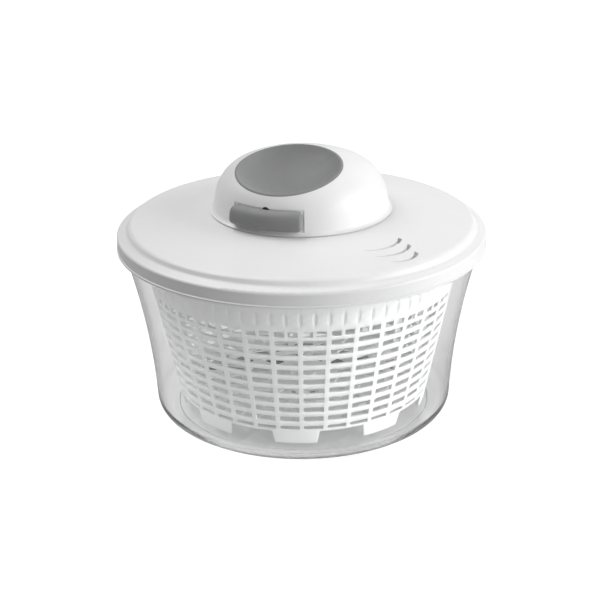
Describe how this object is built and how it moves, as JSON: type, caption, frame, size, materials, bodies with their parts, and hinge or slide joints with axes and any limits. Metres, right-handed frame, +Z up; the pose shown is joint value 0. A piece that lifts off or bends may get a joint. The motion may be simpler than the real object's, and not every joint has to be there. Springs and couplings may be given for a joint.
{
  "type": "salad spinner",
  "caption": "Pull-cord salad spinner: clear flared bowl, white slotted basket, stepped lid with crescent vents and a domed grip with a grey palm scoop and pull handle.",
  "frame": {"origin": "centre of the bowl's foot on the table", "axes": "+Z up along the spin axis; the pull handle faces -Y, so the cord is pulled along -Y; +X is to the right of someone who faces the handle"},
  "size_m": [0.26, 0.26, 0.1877],
  "materials": {
    "clear_plastic": "clear gloss styrene acrylonitrile",
    "white_plastic": "satin white polypropylene",
    "grey_soft_touch": "soft-touch matt elastomer",
    "dark_plastic": "matt",
    "acetal": "natural acetal",
    "steel": "zinc plated",
    "cord": "braided nylon"
  },
  "bodies": {
    "bowl": {"bowl": "clear_plastic"},
    "basket_carrier": {"basket_bearing": "acetal"},
    "basket": {"basket": "white_plastic", "basket_floor": "white_plastic"},
    "lid": {"lid": "white_plastic", "lid_bearing": "acetal", "grip_housing": "white_plastic", "palm_inlay": "grey_soft_touch", "cord_guide": "dark_plastic", "housing_screws": "steel", "axle": "steel", "spring_arbor": "acetal", "retaining_washer": "steel", "retaining_screw": "steel", "cord_inner_run": "cord"},
    "drive": {"ratchet_hub": "white_plastic", "thrust_washer": "acetal", "drive_wheel": "white_plastic", "drive_screws": "steel"},
    "reel": {"cord_reel": "white_plastic", "reel_cap": "white_plastic", "reel_bush": "acetal", "recoil_spring": "steel", "cord_winding": "cord"},
    "handle": {"pull_handle": "grey_soft_touch", "handle_back": "dark_plastic", "cord_knot": "cord", "pull_cord": "cord"},
    "pawl_1": {"pawl_1": "acetal"},
    "pawl_2": {"pawl_2": "acetal"},
    "pawl_3": {"pawl_3": "acetal"}
  },
  "joints": [
    {"name": "basket_lift", "type": "slide", "parent": "bowl", "child": "basket_carrier", "axis": [0, 0, 1], "range_m": [0, 0.15]},
    {"name": "basket_spin", "type": "hinge", "parent": "basket_carrier", "child": "basket", "pos_m": [0, 0, 0.016], "axis": [0, 0, 1], "continuous": true},
    {"name": "lid_lift", "type": "slide", "parent": "basket_carrier", "child": "lid", "axis": [0, 0, 1], "range_m": [0, 0.12]},
    {"name": "drive_spin", "type": "hinge", "parent": "lid", "child": "drive", "pos_m": [0, 0, 0.1314], "axis": [0, 0, 1], "continuous": true},
    {"name": "handle_pull", "type": "slide", "parent": "lid", "child": "handle", "axis": [0, -1, 0], "range_m": [0, 0.45448], "stiffness_N_per_m": 12, "springref_m": -0.35},
    {"name": "reel_spin", "type": "hinge", "parent": "lid", "child": "reel", "pos_m": [0, 0, 0.155], "axis": [0, 0, 1], "range_deg": [0, 840]},
    {"name": "pawl_1_swing", "type": "hinge", "parent": "reel", "child": "pawl_1", "pos_m": [0.013, 0, 0.1444], "axis": [0, 0, -1], "range_deg": [0, 11]},
    {"name": "pawl_2_swing", "type": "hinge", "parent": "reel", "child": "pawl_2", "pos_m": [-0.0065, -0.01126, 0.1444], "axis": [0, 0, -1], "range_deg": [0, 11]},
    {"name": "pawl_3_swing", "type": "hinge", "parent": "reel", "child": "pawl_3", "pos_m": [-0.0065, 0.01126, 0.1444], "axis": [0, 0, -1], "range_deg": [0, 11]}
  ],
  "couplings": [
    {"joint": "drive_spin", "follows": "basket_spin", "ratio": 1},
    {"joint": "reel_spin", "follows": "handle_pull", "rad_per_m": 32.258}
  ]
}
